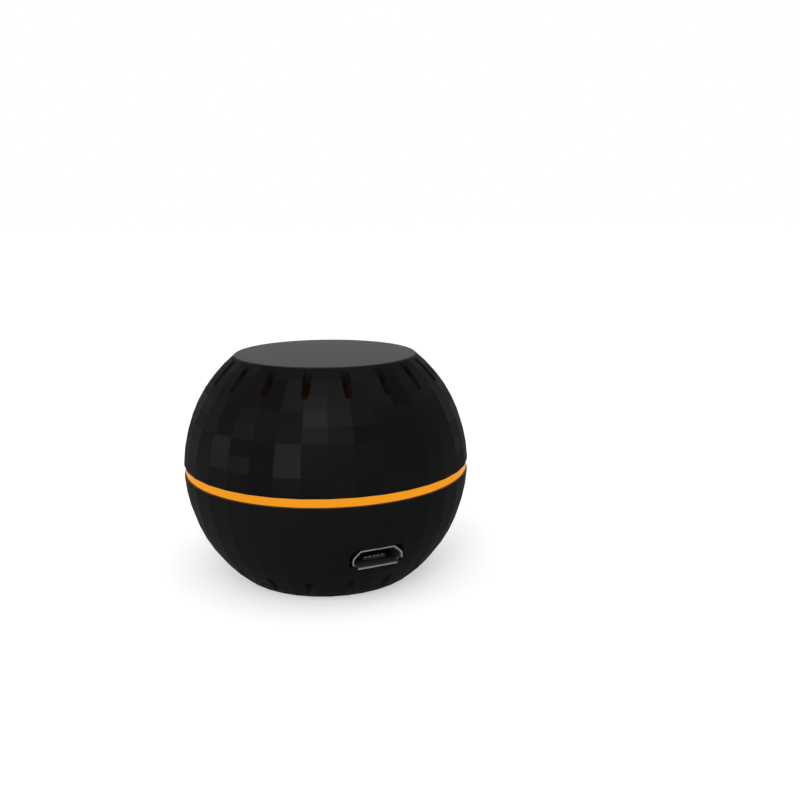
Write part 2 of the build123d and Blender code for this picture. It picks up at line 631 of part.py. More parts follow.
def radio_shield():
    """Pressed can over the radio chip, open towards its module board."""
    length, width, height = SHIELD_SIZE
    can = block(length, width, module_top, module_top + height)
    can = fillet(can.edges().group_by(Axis.Z)[-1] + can.edges().filter_by(Axis.Z), SHIELD_SHEET * 2)
    inside = block(length - 2 * SHIELD_SHEET, width - 2 * SHIELD_SHEET, module_top, module_top + height)
    return can - Pos(0, 0, -SHIELD_SHEET) * inside


def radio_antenna():
    """Printed meander at the free end of the module board."""
    track_top = module_top + PAD_THICKNESS
    width = MODULE_SIZE[0] - 2 * ANTENNA_MARGIN
    depth = antenna_zone - 2 * ANTENNA_MARGIN
    pitch = (width - ANTENNA_TRACK) / (ANTENNA_BARS - 1)
    meander = None
    for index in range(ANTENNA_BARS):
        bar_x = (index - (ANTENNA_BARS - 1) / 2) * pitch
        piece = Pos(bar_x) * block(ANTENNA_TRACK, depth, module_top, track_top)
        meander = piece if meander is None else meander + piece
        if index:
            side = 1 if index % 2 else -1
            link = block(pitch + ANTENNA_TRACK, ANTENNA_TRACK, module_top, track_top)
            meander += Pos(bar_x - pitch / 2, side * (depth - ANTENNA_TRACK) / 2) * link
    return meander


def on_module(start, depth):
    """Place on the module of something that takes a depth, from a start at its inner edge."""
    module_x, module_y = MODULE_PLACE
    return Pos(module_x, module_y - MODULE_SIZE[1] / 2 + start + depth / 2)


def power_inductor():
    """Moulded coil with its metal ends."""
    length, width, height = INDUCTOR_SIZE
    body = block(length, width, power_board_top, power_board_top + height)
    body = fillet(body.edges().filter_by(Axis.Z), height / 4)
    return chamfer(body.edges().group_by(Axis.Z)[-1], height / 10)


shield_place = on_module(SHIELD_MARGIN, SHIELD_SIZE[1])
antenna_place = on_module(SHIELD_MARGIN + SHIELD_SIZE[1], antenna_zone)
button_place = Pos(button_offset)
centre_place, outer_place = pin_places()
contact_disc, contact_ring = contact_pads()
upper_screw = Pos(0, -upper_screw_circle, roof_bottom) * Rot(180) * screw()
base_screw = Pos(0, -base_screw_circle, web_top) * screw()

nodes = {
    "upper_shell": upper_shell(),
    "light_ring": light_ring(),
    "carrier_ring": carrier_ring(),
    "main_board": main_board(),
    "status_leds": status_leds(),
    "climate_sensor": sensor_place * chip(*SENSOR_SIZE, main_board_top),
    "radio_module": Pos(*MODULE_PLACE) * block(*MODULE_SIZE[:2], main_board_top, module_top),
    "radio_chip": shield_place * chip(*RADIO_CHIP_SIZE, module_top, RADIO_CHIP_LEAD_COUNT),
    "radio_shield": shield_place * radio_shield(),
    "radio_antenna": antenna_place * radio_antenna(),
    "main_regulator": Pos(*REGULATOR_PLACE)
    * chip(*REGULATOR_SIZE, main_board_top, lead_width=REGULATOR_LEAD_WIDTH),
    "main_capacitors": Compound(
        [Pos(*place) * chip_capacitor(*CAPACITOR_SIZE, main_board_top) for place in MAIN_CAPACITOR_PLACES]
    ),
    "contact_disc": contact_disc,
    "contact_ring": contact_ring,
    "button_housing": button_place * button_housing(),
    "setup_button": button_place * setup_button(),
    "button_dome": button_place * button_dome(),
    "upper_screws": Compound(around(upper_screw, SCREWS_PER_HALF, UPPER_SCREW_START)),
    "base_shell": base_shell(),
    "base_cover": base_cover(),
    "foot_pad": foot_pad(),
    "power_board": power_board(),
    "usb_shell": usb_shell(),
    "usb_tongue": usb_tongue(),
    "usb_contacts": usb_contacts(),
    "power_converter": Pos(*CONVERTER_PLACE) * chip(*CONVERTER_SIZE, power_board_top),
    "power_inductor": Pos(*INDUCTOR_PLACE) * power_inductor(),
    "power_capacitors": Compound(
        [Pos(*place) * chip_capacitor(*CAPACITOR_SIZE, power_board_top) for place in POWER_CAPACITOR_PLACES]
    ),
    "input_fuse": Pos(*FUSE_PLACE) * chip_capacitor(*FUSE_SIZE, power_board_top),
    "pin_block": pin_block(),
    "pin_barrels": pin_barrels(),
    "centre_pin": centre_place * spring_pin(),
    "outer_pin": outer_place * spring_pin(),
    "centre_pin_spring": centre_place * pin_spring(),
    "outer_pin_spring": outer_place * pin_spring(),
    "base_screws": Compound(around(base_screw, SCREWS_PER_HALF, BASE_SCREW_START)),
}

os.makedirs("parts", exist_ok=True)
for name, shape in nodes.items():
    export_step(shape, f"parts/{name}.step")
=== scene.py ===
"""Ball-shaped room climate sensor on its USB base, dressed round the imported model. Metres."""
import bmesh
import bpy
from math import cos, pi, radians, sin
from mathutils import Matrix, Vector


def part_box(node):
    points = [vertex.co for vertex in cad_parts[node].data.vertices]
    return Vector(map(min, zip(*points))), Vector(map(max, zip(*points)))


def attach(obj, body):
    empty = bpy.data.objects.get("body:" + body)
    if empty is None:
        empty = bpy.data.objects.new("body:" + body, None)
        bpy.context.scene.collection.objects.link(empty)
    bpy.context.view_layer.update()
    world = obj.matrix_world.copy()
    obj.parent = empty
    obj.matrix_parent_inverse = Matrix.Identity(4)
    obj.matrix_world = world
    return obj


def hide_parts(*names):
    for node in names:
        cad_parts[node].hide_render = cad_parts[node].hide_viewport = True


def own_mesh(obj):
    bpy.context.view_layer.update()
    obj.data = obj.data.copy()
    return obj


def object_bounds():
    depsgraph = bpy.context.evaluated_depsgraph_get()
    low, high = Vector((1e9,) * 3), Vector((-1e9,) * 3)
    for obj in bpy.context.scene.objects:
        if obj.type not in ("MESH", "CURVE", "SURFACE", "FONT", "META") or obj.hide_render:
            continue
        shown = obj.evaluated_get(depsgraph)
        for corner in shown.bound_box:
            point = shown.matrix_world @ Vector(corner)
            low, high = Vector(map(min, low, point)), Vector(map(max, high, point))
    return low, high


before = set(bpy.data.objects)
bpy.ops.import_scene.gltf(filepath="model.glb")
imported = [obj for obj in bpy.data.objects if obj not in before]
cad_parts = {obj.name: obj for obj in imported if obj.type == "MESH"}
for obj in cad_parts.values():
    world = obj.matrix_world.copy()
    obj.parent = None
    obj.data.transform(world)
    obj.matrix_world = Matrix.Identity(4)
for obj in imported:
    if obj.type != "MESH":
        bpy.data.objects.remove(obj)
cad_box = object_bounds()

# Camera: looks slightly down at the socket's side of the ball from a little under a hand's
# breadth, with the ball left of and under the middle of the view.
ball_low, ball_high = (Vector(corner) for corner in cad_box)
ball_middle = (ball_low + ball_high) / 2
CAMERA_DISTANCE = 0.14351
CAMERA_AZIMUTH = radians(-20.3)
CAMERA_ELEVATION = radians(15.83)
CAMERA_ROLL = radians(-1.207)
BALL_IN_VIEW = Vector((-0.0821, -0.0671, -1))   # direction of the ball's middle in the view
FOCAL_LENGTH, FILM_WIDTH = 39.76, 36            # millimetres
NEAREST_SEEN = 0.005

camera_back = Vector((
    sin(CAMERA_AZIMUTH) * cos(CAMERA_ELEVATION),
    -cos(CAMERA_AZIMUTH) * cos(CAMERA_ELEVATION),
    sin(CAMERA_ELEVATION),
))
level_right = Vector((cos(CAMERA_AZIMUTH), sin(CAMERA_AZIMUTH), 0))
level_up = camera_back.cross(level_right)
camera_right = level_right * cos(CAMERA_ROLL) + level_up * sin(CAMERA_ROLL)
camera_up = camera_back.cross(camera_right)
towards_ball = Matrix((camera_right, camera_up, camera_back)).transposed()
off_centre = Vector((0, 0, -1)).rotation_difference(BALL_IN_VIEW).to_matrix()
camera = bpy.data.objects.new("camera", bpy.data.cameras.new("camera"))
camera.data.lens = FOCAL_LENGTH
camera.data.sensor_width = FILM_WIDTH
camera.data.clip_start = NEAREST_SEEN
camera.matrix_world = (
    Matrix.Translation(ball_middle + camera_back * CAMERA_DISTANCE)
    @ (towards_ball @ off_centre.inverted()).to_4x4()
)
bpy.context.scene.collection.objects.link(camera)
bpy.context.scene.camera = camera
bpy.context.scene.view_settings.view_transform = "Standard"


class Wire:
    """A socket of a node tree. Sums on it add Math nodes; node() adds any other node."""

    def __init__(self, tree, socket=None):
        self.tree = tree
        self.socket = socket

    def node(self, kind, inputs=(), output=0, **settings):
        made = self.tree.nodes.new(kind)
        for name, value in settings.items():
            setattr(made, name, value)
        for name, value in dict(inputs).items():
            if isinstance(value, Wire):
                self.tree.links.new(value.socket, made.inputs[name])
            else:
                made.inputs[name].default_value = value
        return Wire(self.tree, made.outputs[output] if made.outputs else None)

    def math(self, operation, *values):
        return self.node("ShaderNodeMath", enumerate(values), operation=operation)

    def __add__(self, other):
        return self.math("ADD", self, other)

    def __radd__(self, other):
        return self.math("ADD", other, self)

    def __sub__(self, other):
        return self.math("SUBTRACT", self, other)

    def __rsub__(self, other):
        return self.math("SUBTRACT", other, self)

    def __mul__(self, other):
        return self.math("MULTIPLY", self, other)

    def __rmul__(self, other):
        return self.math("MULTIPLY", other, self)

    def __truediv__(self, other):
        return self.math("DIVIDE", self, other)

    def __gt__(self, other):
        return self.math("GREATER_THAN", self, other)

    def __lt__(self, other):
        return self.math("LESS_THAN", self, other)

    def __abs__(self):
        return self.math("ABSOLUTE", self)


# Studio: a wide pale table under a white sky, which the camera and reflections see as plain
# white, with one soft lamp overhead and six cooler panes, like windows, at the left.
world = bpy.data.worlds.new("studio")
bpy.context.scene.world = world
world.use_nodes = True
world.node_tree.nodes.clear()
sky = Wire(world.node_tree)
SKY_LEVEL = 0.6


def plainly_seen(wire):
    """1 for rays from the camera and for reflections and glass, which all see the white."""
    seen = 0
    for ray in ("Camera", "Glossy", "Transmission"):
        seen = wire.math("MAXIMUM", wire.node("ShaderNodeLightPath", output=f"Is {ray} Ray"), seen)
    return seen


lit = sky.node("ShaderNodeBackground", {"Color": (1, 1, 1, 1), "Strength": SKY_LEVEL})
white = sky.node("ShaderNodeBackground", {"Color": (1, 1, 1, 1), "Strength": 1})
shown = sky.node("ShaderNodeMixShader", {0: plainly_seen(sky), 1: lit, 2: white})
sky.node("ShaderNodeOutputWorld", {"Surface": shown})

OVERHEAD_LEVEL = 1.1
OVERHEAD_SPREAD = radians(70)
OVERHEAD_COLOR = (1, 0.97, 0.94)
OVERHEAD_TURN = (radians(15), radians(2), 0)
overhead = bpy.data.objects.new("overhead_lamp", bpy.data.lights.new("overhead_lamp", "SUN"))
overhead.data.energy = OVERHEAD_LEVEL
overhead.data.angle = OVERHEAD_SPREAD
overhead.data.color = OVERHEAD_COLOR
overhead.rotation_euler = OVERHEAD_TURN
bpy.context.scene.collection.objects.link(overhead)

# Each pane stands where the camera sees it mirrored in a facet at this azimuth and elevation.
PANE_DISTANCE = 0.5
PANE_COLOR = (0.86, 0.93, 1)
PANES = (
    # name, azimuth, elevation, width, height, watts
    ("tall_pane", -35, 12, 0.10, 0.28, 0.42),
    ("low_pane", -54, 10, 0.12, 0.14, 0.22),
    ("side_pane", -68, 16, 0.12, 0.14, 0.22),
    ("high_pane", -26, 30, 0.10, 0.20, 0.2),
    ("far_pane", -52, 27, 0.12, 0.12, 0.2),
    ("wide_pane", -24, 24, 0.45, 0.5, 0.62),
)
for name, azimuth, elevation, width, height, watts in PANES:
    azimuth, elevation = radians(azimuth), radians(elevation)
    facet = Vector((sin(azimuth) * cos(elevation), -cos(azimuth) * cos(elevation), sin(elevation)))
    towards_pane = 2 * facet.dot(camera_back) * facet - camera_back
    pane = bpy.data.objects.new(name, bpy.data.lights.new(name, "AREA"))
    pane.data.shape = "RECTANGLE"
    pane.data.size = width
    pane.data.size_y = height
    pane.data.energy = watts
    pane.data.color = PANE_COLOR
    pane.location = ball_middle + towards_pane * PANE_DISTANCE
    pane.rotation_euler = towards_pane.to_track_quat("Z", "Y").to_euler()
    pane.visible_camera = False
    bpy.context.scene.collection.objects.link(pane)

TABLE_REACH = 3
TABLE_TONE = (0.6, 0.6, 0.6, 1)
TABLE_LIFT = 0.46   # glow that keeps the table white between the shadow's edge and the sky
table_mesh = bpy.data.meshes.new("table")
form = bmesh.new()
bmesh.ops.create_grid(form, x_segments=1, y_segments=1, size=TABLE_REACH)
form.to_mesh(table_mesh)
form.free()
table = bpy.data.objects.new("table", table_mesh)
bpy.context.scene.collection.objects.link(table)
table_paint = bpy.data.materials.new("table_paint")
table_paint.use_nodes = True
table_paint.node_tree.nodes.clear()
paint = Wire(table_paint.node_tree)
matt = paint.node("ShaderNodeBsdfDiffuse", {"Color": TABLE_TONE})
lift = paint.node("ShaderNodeEmission", {"Color": (1, 1, 1, 1), "Strength": TABLE_LIFT})
lifted = paint.node("ShaderNodeAddShader", {0: matt, 1: lift})
shown = paint.node("ShaderNodeMixShader", {0: plainly_seen(paint), 1: matt, 2: lifted})
paint.node("ShaderNodeOutputMaterial", {"Surface": shown})
table_mesh.materials.append(table_paint)


# Foot pad: a die-cut disc of soft black rubber, stuck into the base's shallow recess. Its
# face has the fine pebbling of calendered sheet.
MM = 0.001


def finish(name, **constants):
    """A new material with one Principled shader, whose plain values are given by name."""
    material = bpy.data.materials.new(name)
    material.use_nodes = True
    material.node_tree.nodes.clear()
    wire = Wire(material.node_tree)
    values = {socket.replace("_", " "): value for socket, value in constants.items()}
    surface = wire.node("ShaderNodeBsdfPrincipled", values)
    wire.node("ShaderNodeOutputMaterial", {"Surface": surface})
    return material, surface


def connect(surface, **links):
    """Feeds sockets of a Principled shader, named as in finish."""
    for socket, source in links.items():
        surface.tree.links.new(source.socket, surface.socket.node.inputs[socket.replace("_", " ")])


def where(wire):
    """The place on the piece, then its X, Y and Z."""
    place = wire.node("ShaderNodeTexCoord", output="Object")
    return place, *(wire.node("ShaderNodeSeparateXYZ", {0: place}, output=axis) for axis in "XYZ")


def noise(wire, place, size, detail=3.0):
    """Soft noise from 0 to 1 whose blotches are about a size across."""
    return wire.node("ShaderNodeTexNoise", {"Vector": place, "Scale": 1 / size, "Detail": detail})


def mix(wire, share, first, second):
    """A colour between two, which are plain colours or wires."""
    ends = [color if isinstance(color, Wire) else (*color, 1) for color in (first, second)]
    return wire.node(
        "ShaderNodeMix", {"Factor": share, "A": ends[0], "B": ends[1]}, output=2, data_type="RGBA"
    )


def bump(wire, height, depth, **more):
    """A normal from a height of 0 to 1 that stands for a depth."""
    inputs = {"Height": height, "Distance": depth, "Strength": 1.0, **more}
    return wire.node("ShaderNodeBump", inputs)


def dress(material, *nodes):
    """Gives CAD nodes a material."""
    for name in nodes:
        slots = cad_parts[name].data.materials
        slots.clear()
        slots.append(material)


rubber, surface = finish("foot_rubber", IOR=1.4)
place, x, y, z = where(surface)
pebbles = surface.node("ShaderNodeTexVoronoi", {"Vector": place, "Scale": 1 / (0.5 * MM)})
dust = noise(surface, place, 1.5 * MM)
connect(
    surface,
    Base_Color=mix(surface, dust, (0.012, 0.012, 0.012), (0.026, 0.025, 0.024)),
    Roughness=0.7 + 0.2 * dust,
    Normal=bump(surface, pebbles, 0.05 * MM),
)
dress(rubber, "foot_pad")


# Base shell: the lower faceted bowl, moulded in black plastic with a fine spark-eroded
# grain. The upper shell is moulded in the same plastic, so both share this finish.
BALL_RADIUS = 22.5 * MM
COLUMNS = 36
ROW_ANGLE = radians(6)
WALL_SKIN = 0.985        # share of the radius beyond which the wall counts as outside
OUTWARD, INWARD = 0.9, -0.5   # how far a face turns from the ball's middle or towards it
TOP_SKIN = 0.12 * MM
LIP_RISE = 0.72 * MM     # the shells' edges beside the glowing band, which the mould polishes
WARM_BELOW = 32.9 * MM   # height where the ring's light starts to warm the upper slots' walls
WARM_REACH = 22.4 * MM   # distance from the ball's middle where it starts
WARM_FADE = 0.8 * MM     # way over which it comes to its full tone
WARM_RISE = 8 * MM       # least height over the ball's middle, above the lips
FACET_TILT = 0.06        # most that a facet leans, and again that two neighbours lean together
LOWER_SHARE = 0.3        # of that lean, on the lower half
LEAST_POLISH = 0.55
TOP_POLISH = 0.27

casing, surface = finish("casing", IOR=1.06, Coat_IOR=1.15, Coat_Roughness=0.2)
place, x, y, z = where(surface)
rise = z - ball_middle.z
reach = surface.math("SQRT", x * x + y * y + rise * rise)
top = z > ball_high.z - TOP_SKIN
away = surface.node("ShaderNodeCombineXYZ", {0: x, 1: y, 2: rise})
away = surface.node("ShaderNodeVectorMath", {0: away}, operation="NORMALIZE")
flat_normal = surface.node("ShaderNodeNewGeometry", output="Normal")
facing = surface.node(
    "ShaderNodeVectorMath", {0: away, 1: flat_normal}, output="Value", operation="DOT_PRODUCT"
)
outside = (reach > BALL_RADIUS * WALL_SKIN) * (facing > OUTWARD) * (1 - top)
cut = (1 - outside) * (1 - top)
lip = cut * (abs(rise) < LIP_RISE)
upper = rise > 0
column = surface.math("FLOOR", surface.math("ARCTAN2", x, -1 * y) * (COLUMNS / (2 * pi)))
row = surface.math("FLOOR", surface.math("ARCSINE", rise / BALL_RADIUS) / ROW_ANGLE + 0.5)
cell = surface.node("ShaderNodeCombineXYZ", {0: column, 1: row, 2: 1.0})
pair = surface.node("ShaderNodeCombineXYZ", {0: column, 1: surface.math("FLOOR", row / 2), 2: 2.0})
polish = surface.node("ShaderNodeTexWhiteNoise", {"Vector": pair}, output="Value")
tilt = outside * (LOWER_SHARE + (1 - LOWER_SHARE) * upper) * FACET_TILT * 2
leaning = flat_normal
for group in (cell, pair):
    lean = surface.node("ShaderNodeTexWhiteNoise", {"Vector": group}, output="Color")
    lean = surface.node("ShaderNodeVectorMath", {0: lean, 1: (0.5, 0.5, 0.5)}, operation="SUBTRACT")
    lean = surface.node("ShaderNodeVectorMath", {0: lean, "Scale": tilt}, operation="SCALE")
    leaning = surface.node("ShaderNodeVectorMath", {0: lean, 1: leaning}, operation="ADD")
leaning = surface.node("ShaderNodeVectorMath", {0: leaning}, operation="NORMALIZE")
glancing = surface.node("ShaderNodeLayerWeight", {"Blend": 0.5}, output="Facing")
grain = noise(surface, place, 0.17 * MM)
# Painted light: the lower half is painted lighter than the upper, to make up for the shade under the
# ball. The cut faces are painted lighter and bluer than the facets, as painted light on the slot walls.
tone = mix(surface, upper, (0.0066, 0.0068, 0.0067), (0.0024, 0.0022, 0.0021))
painted_cut_tone = mix(surface, upper, (0.022, 0.023, 0.025), (0.0075, 0.008, 0.0085))
# Painted glow: low in the upper slots the walls are painted a warm brown where the ring's light would
# reach them.
painted_glow = rise > WARM_RISE
for way in (WARM_BELOW - z, WARM_REACH - reach):
    painted_glow = surface.math("MINIMUM", surface.math("MAXIMUM", way / WARM_FADE, 0), 1) * painted_glow
painted_cut_tone = mix(surface, painted_glow, painted_cut_tone, (0.027, 0.0148, 0.0112))
# Painted light: the inner faces are painted far lighter and bluer than the outside, so the inside of
# the shell shows lit.
painted_cut_tone = mix(surface, facing < INWARD, painted_cut_tone, (0.05, 0.057, 0.075))
tone = mix(surface, cut, tone, painted_cut_tone)
# Painted sheen: the flat top is painted lighter and warmer than the facets, for the overhead lamp's
# light on it.
tone = mix(surface, top, tone, (0.0145, 0.0118, 0.013))
facet_polish = (LEAST_POLISH + (1 - LEAST_POLISH) * polish) * (1 - glancing) * (1 - glancing)
connect(
    surface,
    Base_Color=tone,
    Roughness=0.58 + 0.04 * grain,
    Coat_Weight=outside * upper * facet_polish + top * TOP_POLISH + lip,
    Normal=bump(surface, grain, 0.01 * MM, Normal=leaning),
)
dress(casing, "base_shell")


# Micro-USB socket: a shell folded from nickel-plated sheet, a moulded tongue in it and five
# gilt contacts, whose tips fold over the tongue's edge.
SAME_POINT = 0.0001 * MM
FLAT_TURN = radians(1)
SHARP_TURN = radians(25)
SHADED_SHARP_TURN = radians(40)


def merged(node):
    """A copy of a CAD node's mesh whose triangles share their corners."""
    form = bmesh.new()
    form.from_mesh(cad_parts[node].data)
    bmesh.ops.remove_doubles(form, verts=form.verts, dist=SAME_POINT)
    return form


def softened(node, edge):
    """A merged copy of a CAD node's mesh with its sharp edges rounded."""
    form = merged(node)
    bmesh.ops.dissolve_limit(form, angle_limit=FLAT_TURN, verts=form.verts, edges=form.edges)
    sharp = [e for e in form.edges if e.is_manifold and e.calc_face_angle() > SHARP_TURN]
    bmesh.ops.bevel(
        form, geom=sharp, offset=edge, clamp_overlap=True,
        affect="EDGES", segments=2, profile=0.5, material=-1,
    )
    return form


def piece(name, form, material, slot, body, *replaced):
    """A shown piece from a finished bmesh, which rides on a body in place of CAD nodes."""
    mesh = bpy.data.meshes.new(name)
    for face in form.faces:
        face.smooth = True
    form.to_mesh(mesh)
    form.free()
    mesh.set_sharp_from_angle(angle=SHADED_SHARP_TURN)
    mesh.materials.append(material)
    made = bpy.data.objects.new(name, mesh)
    bpy.context.scene.collection.objects.link(made)
    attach(made, body)
    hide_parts(*replaced)
    return made


MOUTH_RIM = 0.22 * MM    # depth of the bright rim; behind it the sheet is painted dark, as painted shade inside the socket
mouth, shell_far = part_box("usb_shell")
nickel, surface = finish("socket_nickel")
place, x, y, z = where(surface)
# Painted shade: behind the rim the shell is painted dark and not metallic, for the shade inside the
# socket.
shaded_inside = y > mouth.y + MOUTH_RIM
smear = noise(surface, place, 0.8 * MM)
drawn = surface.node("ShaderNodeMapping", {"Vector": place, "Scale": (1, 0.08, 1)})
lines = noise(surface, drawn, 0.05 * MM, 2.0)
bright = mix(surface, smear, (0.235, 0.23, 0.2), (0.14, 0.137, 0.122))
connect(
    surface,
    Base_Color=mix(surface, shaded_inside, bright, (0.016, 0.019, 0.017)),
    Metallic=1 - shaded_inside,
    Roughness=0.34 + 0.1 * lines,
    Normal=bump(surface, lines, 0.003 * MM),
)
piece("socket_shell", softened("usb_shell", 0.07 * MM), nickel, "socket_nickel", "base", "usb_shell")

plastic, surface = finish("inner_plastic", IOR=1.3)
place, x, y, z = where(surface)
flow = noise(surface, place, 4 * MM)
grain = noise(surface, place, 0.15 * MM)
connect(
    surface,
    Base_Color=mix(surface, flow, (0.008, 0.008, 0.0085), (0.013, 0.013, 0.0135)),
    Roughness=0.42 + 0.12 * grain,
    Normal=bump(surface, grain, 0.01 * MM),
)
dress(plastic, "usb_tongue")

gilt, surface = finish("gilt", Metallic=1)
place, x, y, z = where(surface)
wear = noise(surface, place, 0.4 * MM)
connect(
    surface,
    Base_Color=mix(surface, wear, (0.83, 0.62, 0.28), (0.66, 0.56, 0.38)),
    Roughness=0.22 + 0.2 * wear,
    Normal=bump(surface, noise(surface, place, 0.08 * MM), 0.003 * MM),
)
# The socket's contacts are a dark grey metal, far darker than the gilt.
dark_contact_metal, surface = finish("dark_contact_metal", Metallic=1)
place, x, y, z = where(surface)
rub = noise(surface, place, 0.15 * MM)
connect(
    surface,
    Base_Color=mix(surface, rub, (0.13, 0.13, 0.125), (0.09, 0.095, 0.09)),
    Roughness=0.3 + 0.15 * rub,
    Normal=bump(surface, rub, 0.004 * MM),
)
piece("socket_contacts", softened("usb_contacts", 0.02 * MM), dark_contact_metal, "gilt", "base", "usb_contacts")


# Power board: a round glass-fibre board with green solder mask over its copper tracks, which
# carries the socket. The radio module is made in the same way.
TRACK_PITCH = 0.8 * MM
TRACK_SHARE = 0.36       # of the pitch that a track takes up
PATCH = 3 * TRACK_PITCH  # squares in which the tracks run one way
board, surface = finish("circuit_board", IOR=1.45)
place, x, y, z = where(surface)
patch_x, patch_y = (surface.math("FLOOR", along / PATCH) for along in (x, y))
square = surface.node("ShaderNodeCombineXYZ", {0: patch_x, 1: patch_y, 2: 2.0})
turn = surface.node("ShaderNodeTexWhiteNoise", {"Vector": square}, output="Value") > 0.5
across = turn * (x / TRACK_PITCH) + (1 - turn) * (y / TRACK_PITCH)
track = abs(surface.math("FRACT", across) - 0.5) < TRACK_SHARE / 2
straight = surface.node("ShaderNodeNewGeometry", output="Normal")
flat = abs(surface.node("ShaderNodeSeparateXYZ", {0: straight}, output="Z"))
weave = noise(surface, place, 0.25 * MM)
mask_tone = mix(surface, track, (0.008, 0.05, 0.022), (0.018, 0.10, 0.04))
# Painted shade: the board's edges are painted a dark olive in place of the pale glass-fibre, for the
# shade they sit in.
shaded_edge_tone = mix(surface, weave, (0.03, 0.033, 0.02), (0.05, 0.05, 0.032))
connect(
    surface,
    Base_Color=mix(surface, flat > 0.5, shaded_edge_tone, mask_tone),
    Roughness=0.3 + 0.12 * weave,
    Normal=bump(surface, track + 0.2 * weave, 0.02 * MM),
)
dress(board, "power_board")


# Converter, coil, fuse and capacitors: small reflow-soldered parts on the power board. The
# chips are moulded epoxy on tinned leads, the others ceramic with tinned ends.
LEAD_THICKNESS = 0.15 * MM
MARK_DEPTH = 0.03 * MM
TIN = (0.5, 0.5, 0.48)
BODY_SHARE = 0.6         # of a ceramic chip's length, between its tinned ends
BARELY_OVER = 1.01       # keeps a chip's own faces inside its box


def moulded_chip(node, pin_mark=0.12):
    """Black epoxy with tinned leads under it and a round mark near its first lead."""
    low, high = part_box(node)
    size = high - low
    material, surface = finish(f"{node}_finish", IOR=1.4)
    place, x, y, z = where(surface)
    lead = z < low.z + LEAD_THICKNESS
    grain = noise(surface, place, 0.12 * MM)
    aside = x - (low.x + size.x * 0.25)
    along = y - (low.y + size.y * 0.3)
    mark = surface.math("SQRT", aside * aside + along * along) < size.y * pin_mark
    epoxy = mix(surface, grain, (0.016, 0.016, 0.017), (0.028, 0.028, 0.03))
    epoxy = mix(surface, mark * (z > high.z - MARK_DEPTH), epoxy, (0.06, 0.06, 0.06))
    connect(
        surface,
        Base_Color=mix(surface, lead, epoxy, TIN),
        Metallic=lead,
        Roughness=0.5 + 0.15 * grain - 0.2 * lead,
        Normal=bump(surface, grain - mark, 0.015 * MM),
    )
    dress(material, node)


def loose_pieces(node):
    """Lowest and highest corner of each separate solid of a CAD node."""
    form = merged(node)
    waiting, boxes = set(form.verts), []
    while waiting:
        found, fringe = set(), {waiting.pop()}
        while fringe:
            found |= fringe
            fringe = {e.other_vert(v) for v in fringe for e in v.link_edges} - found
        waiting -= found
        corners = [[pick(v.co[axis] for v in found) for axis in range(3)] for pick in (min, max)]
        boxes.append(tuple(map(Vector, corners)))
    form.free()
    return boxes


def ceramic_chips(node, first, second):
    """Fired ceramic between two dull tinned ends, on every chip of a node."""
    material, surface = finish(f"{node}_finish", IOR=1.5)
    place, x, y, z = where(surface)
    tinned = 0
    for low, high in loose_pieces(node):
        middle, half = (low + high) / 2, (high - low) / 2
        aside, along = abs(x - middle.x), abs(y - middle.y)
        near = (aside < half.x * BARELY_OVER) * (along < half.y * BARELY_OVER)
        tinned = near * (aside > half.x * BODY_SHARE) + tinned
    grain = noise(surface, place, 0.2 * MM)
    connect(
        surface,
        Base_Color=mix(surface, tinned, mix(surface, grain, first, second), TIN),
        Metallic=tinned,
        Roughness=0.45 + 0.15 * grain - 0.1 * tinned,
        Normal=bump(surface, grain, 0.01 * MM),
    )
    dress(material, node)


moulded_chip("power_converter")
ceramic_chips("power_capacitors", (0.42, 0.29, 0.18), (0.35, 0.23, 0.14))
ceramic_chips("input_fuse", (0.05, 0.16, 0.07), (0.04, 0.12, 0.06))

END_START = 0.36         # share of the inductor's length from its middle to its tinned ends
END_HEIGHT = 0.9 * MM
ferrite, surface = finish("inductor_finish", IOR=1.5)
place, x, y, z = where(surface)
coil_low, coil_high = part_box("power_inductor")
coil_middle = (coil_low + coil_high) / 2
powder = noise(surface, place, 0.1 * MM, 5.0)
ended = abs(x - coil_middle.x) > (coil_high.x - coil_low.x) * END_START
ended = ended * (z < coil_low.z + END_HEIGHT)
block = mix(surface, powder, (0.03, 0.03, 0.032), (0.09, 0.09, 0.092))
connect(
    surface,
    Base_Color=mix(surface, ended, block, TIN),
    Metallic=ended,
    Roughness=0.65 + 0.2 * powder - 0.3 * ended,
    Normal=bump(surface, powder, 0.03 * MM),
)
dress(ferrite, "power_inductor")


# Spring pins: two turned and gilt pins in gilt barrels, pushed up by coiled wire, held
# upright by a moulded block on the power board.
dress(plastic, "pin_block")
turned_gilt, surface = finish("turned_gilt", Metallic=1)
place, x, y, z = where(surface)
ringed = surface.node("ShaderNodeMapping", {"Vector": place, "Scale": (0.05, 0.05, 1)})
lathe = noise(surface, ringed, 0.04 * MM, 2.0)
connect(
    surface,
    Base_Color=mix(surface, lathe, (0.85, 0.64, 0.3), (0.72, 0.55, 0.28)),
    Roughness=0.2 + 0.12 * lathe,
    Normal=bump(surface, lathe, 0.004 * MM),
)
dress(turned_gilt, "pin_barrels", "centre_pin", "outer_pin")

spring_wire, surface = finish("spring_steel", Metallic=1)
place, x, y, z = where(surface)
die_marks = noise(surface, place, 0.03 * MM, 2.0)
connect(
    surface,
    Base_Color=mix(surface, noise(surface, place, 0.6 * MM), (0.55, 0.55, 0.54), (0.42, 0.41, 0.4)),
    Roughness=0.22 + 0.15 * die_marks,
    Normal=bump(surface, die_marks, 0.002 * MM),
)


def spring(name, node, body):
    """A spring in place of its CAD node."""
    made = piece(name, merged(node), spring_wire, "spring_steel", body, node)
    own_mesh(made)


spring("centre_coil", "centre_pin_spring", "base")
spring("outer_coil", "outer_pin_spring", "base")


# Base cover: the moulded deck with the bayonet's neck and lugs. Three zinc-plated
# self-tapping screws hold it down on the base shell's bosses.
dress(plastic, "base_cover")
HEAD_HEIGHT = 1.2 * MM
THREAD_PITCH = 0.5 * MM
THREAD_DEPTH = 0.15 * MM


